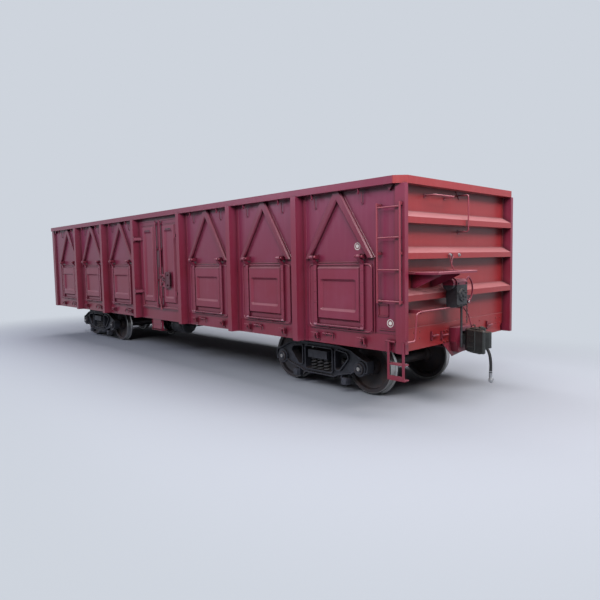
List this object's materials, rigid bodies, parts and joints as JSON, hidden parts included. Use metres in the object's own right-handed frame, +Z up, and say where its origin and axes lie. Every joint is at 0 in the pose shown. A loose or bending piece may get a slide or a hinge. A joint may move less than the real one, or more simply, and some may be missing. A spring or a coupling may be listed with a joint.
{
  "type": "open-top bogie freight wagon with side doors",
  "caption": "Open-top steel freight wagon on two swivelling bogies, with ribbed sides, hinged lower side doors, double centre doors, and couplers at both ends.",
  "frame": {"origin": "middle of the wagon, on the level of the wheel flange tips, 27 mm under the top of the rail", "axes": "+X along the wagon towards the hand-brake end, +Y across it to the left, +Z up"},
  "size_m": [13.618, 3.234, 3.169],
  "materials": {
    "body_paint": "semi-gloss maroon enamel on welded sheet",
    "floor_steel": "maroon primer worn by loads",
    "bogie_cast": "blue-black painted cast steel",
    "wheel_steel": "rolled steel with bright treads",
    "coupler_cast": "dark cast steel",
    "gear_black": "black painted gear",
    "hose_rubber": "black reinforced rubber",
    "fitting_metal": "bright cast fitting"
  },
  "bodies": {
    "wagon_body": {"air_hose_front": "hose_rubber", "air_hose_rear": "hose_rubber", "body_bolsters": "body_paint", "brake_cylinder_and_reservoir": "gear_black", "brake_platform": "body_paint", "centre_sill": "body_paint", "chord_hooks": "body_paint", "corner_posts": "body_paint", "corner_steps": "body_paint", "coupler_knuckles": "coupler_cast", "couplers": "coupler_cast", "cross_bearers": "body_paint", "door_hinge_lugs": "body_paint", "door_latches": "body_paint", "end_handrails": "body_paint", "end_ribs": "body_paint", "end_sheets": "body_paint", "end_sills": "body_paint", "end_top_chords": "body_paint", "floor_plate": "floor_steel", "hand_brake_gear": "gear_black", "hose_couplings": "fitting_metal", "ladders": "body_paint", "lower_side_sheets": "body_paint", "side_braces": "body_paint", "side_posts": "body_paint", "side_sills": "body_paint", "side_top_chords": "body_paint", "strikers": "body_paint", "train_pipe": "gear_black", "uncoupling_levers": "body_paint", "upper_side_sheets": "body_paint"},
    "bogie_front": {"side_frames_front": "bogie_cast", "bogie_bolster_front": "bogie_cast", "springs_front": "bogie_cast", "brake_beams_front": "bogie_cast"},
    "wheelset_front_outer": {"wheelset_front_outer": "wheel_steel"},
    "wheelset_front_inner": {"wheelset_front_inner": "wheel_steel"},
    "bogie_rear": {"side_frames_rear": "bogie_cast", "bogie_bolster_rear": "bogie_cast", "springs_rear": "bogie_cast", "brake_beams_rear": "bogie_cast"},
    "wheelset_rear_outer": {"wheelset_rear_outer": "wheel_steel"},
    "wheelset_rear_inner": {"wheelset_rear_inner": "wheel_steel"},
    "lower_door_right_front_a": {"lower_door_right_front_a": "body_paint"},
    "lower_door_right_front_b": {"lower_door_right_front_b": "body_paint"},
    "lower_door_right_front_c": {"lower_door_right_front_c": "body_paint"},
    "centre_door_right_front": {"centre_door_right_front": "body_paint"},
    "lower_door_right_rear_a": {"lower_door_right_rear_a": "body_paint"},
    "lower_door_right_rear_b": {"lower_door_right_rear_b": "body_paint"},
    "lower_door_right_rear_c": {"lower_door_right_rear_c": "body_paint"},
    "centre_door_right_rear": {"centre_door_right_rear": "body_paint"},
    "lower_door_left_front_a": {"lower_door_left_front_a": "body_paint"},
    "lower_door_left_front_b": {"lower_door_left_front_b": "body_paint"},
    "lower_door_left_front_c": {"lower_door_left_front_c": "body_paint"},
    "centre_door_left_front": {"centre_door_left_front": "body_paint"},
    "lower_door_left_rear_a": {"lower_door_left_rear_a": "body_paint"},
    "lower_door_left_rear_b": {"lower_door_left_rear_b": "body_paint"},
    "lower_door_left_rear_c": {"lower_door_left_rear_c": "body_paint"},
    "centre_door_left_rear": {"centre_door_left_rear": "body_paint"}
  },
  "joints": [
    {"name": "bogie_front_swivel", "type": "hinge", "parent": "wagon_body", "child": "bogie_front", "pos_m": [4.35, 0, 0.699], "axis": [0, 0, 1], "range_deg": [-3, 3]},
    {"name": "wheelset_front_outer_turn", "type": "hinge", "parent": "bogie_front", "child": "wheelset_front_outer", "pos_m": [5.225, 0, 0.447], "axis": [0, 1, 0], "continuous": true},
    {"name": "wheelset_front_inner_turn", "type": "hinge", "parent": "bogie_front", "child": "wheelset_front_inner", "pos_m": [3.475, 0, 0.447], "axis": [0, 1, 0], "continuous": true},
    {"name": "bogie_rear_swivel", "type": "hinge", "parent": "wagon_body", "child": "bogie_rear", "pos_m": [-4.35, 0, 0.699], "axis": [0, 0, 1], "range_deg": [-3, 3]},
    {"name": "wheelset_rear_outer_turn", "type": "hinge", "parent": "bogie_rear", "child": "wheelset_rear_outer", "pos_m": [-5.225, 0, 0.447], "axis": [0, 1, 0], "continuous": true},
    {"name": "wheelset_rear_inner_turn", "type": "hinge", "parent": "bogie_rear", "child": "wheelset_rear_inner", "pos_m": [-3.475, 0, 0.447], "axis": [0, 1, 0], "continuous": true},
    {"name": "lower_door_right_front_a_hinge", "type": "hinge", "parent": "wagon_body", "child": "lower_door_right_front_a", "pos_m": [1.84, -1.56, 2.147], "axis": [-1, 0, 0], "range_deg": [0, 165]},
    {"name": "lower_door_right_front_b_hinge", "type": "hinge", "parent": "wagon_body", "child": "lower_door_right_front_b", "pos_m": [3.545, -1.56, 2.147], "axis": [-1, 0, 0], "range_deg": [0, 165]},
    {"name": "lower_door_right_front_c_hinge", "type": "hinge", "parent": "wagon_body", "child": "lower_door_right_front_c", "pos_m": [5.2085, -1.56, 2.147], "axis": [-1, 0, 0], "range_deg": [0, 165]},
    {"name": "centre_door_right_front_hinge", "type": "hinge", "parent": "wagon_body", "child": "centre_door_right_front", "pos_m": [0.885, -1.597, 2], "axis": [0, 0, -1], "range_deg": [-175, 0]},
    {"name": "lower_door_right_rear_a_hinge", "type": "hinge", "parent": "wagon_body", "child": "lower_door_right_rear_a", "pos_m": [-1.84, -1.56, 2.147], "axis": [-1, 0, 0], "range_deg": [0, 165]},
    {"name": "lower_door_right_rear_b_hinge", "type": "hinge", "parent": "wagon_body", "child": "lower_door_right_rear_b", "pos_m": [-3.545, -1.56, 2.147], "axis": [-1, 0, 0], "range_deg": [0, 165]},
    {"name": "lower_door_right_rear_c_hinge", "type": "hinge", "parent": "wagon_body", "child": "lower_door_right_rear_c", "pos_m": [-5.2085, -1.56, 2.147], "axis": [-1, 0, 0], "range_deg": [0, 165]},
    {"name": "centre_door_right_rear_hinge", "type": "hinge", "parent": "wagon_body", "child": "centre_door_right_rear", "pos_m": [-0.885, -1.597, 2], "axis": [0, 0, 1], "range_deg": [-175, 0]},
    {"name": "lower_door_left_front_a_hinge", "type": "hinge", "parent": "wagon_body", "child": "lower_door_left_front_a", "pos_m": [1.84, 1.56, 2.147], "axis": [1, 0, 0], "range_deg": [0, 165]},
    {"name": "lower_door_left_front_b_hinge", "type": "hinge", "parent": "wagon_body", "child": "lower_door_left_front_b", "pos_m": [3.545, 1.56, 2.147], "axis": [1, 0, 0], "range_deg": [0, 165]},
    {"name": "lower_door_left_front_c_hinge", "type": "hinge", "parent": "wagon_body", "child": "lower_door_left_front_c", "pos_m": [5.2085, 1.56, 2.147], "axis": [1, 0, 0], "range_deg": [0, 165]},
    {"name": "centre_door_left_front_hinge", "type": "hinge", "parent": "wagon_body", "child": "centre_door_left_front", "pos_m": [0.885, 1.597, 2], "axis": [0, 0, 1], "range_deg": [-175, 0]},
    {"name": "lower_door_left_rear_a_hinge", "type": "hinge", "parent": "wagon_body", "child": "lower_door_left_rear_a", "pos_m": [-1.84, 1.56, 2.147], "axis": [1, 0, 0], "range_deg": [0, 165]},
    {"name": "lower_door_left_rear_b_hinge", "type": "hinge", "parent": "wagon_body", "child": "lower_door_left_rear_b", "pos_m": [-3.545, 1.56, 2.147], "axis": [1, 0, 0], "range_deg": [0, 165]},
    {"name": "lower_door_left_rear_c_hinge", "type": "hinge", "parent": "wagon_body", "child": "lower_door_left_rear_c", "pos_m": [-5.2085, 1.56, 2.147], "axis": [1, 0, 0], "range_deg": [0, 165]},
    {"name": "centre_door_left_rear_hinge", "type": "hinge", "parent": "wagon_body", "child": "centre_door_left_rear", "pos_m": [-0.885, 1.597, 2], "axis": [0, 0, -1], "range_deg": [-175, 0]}
  ]
}
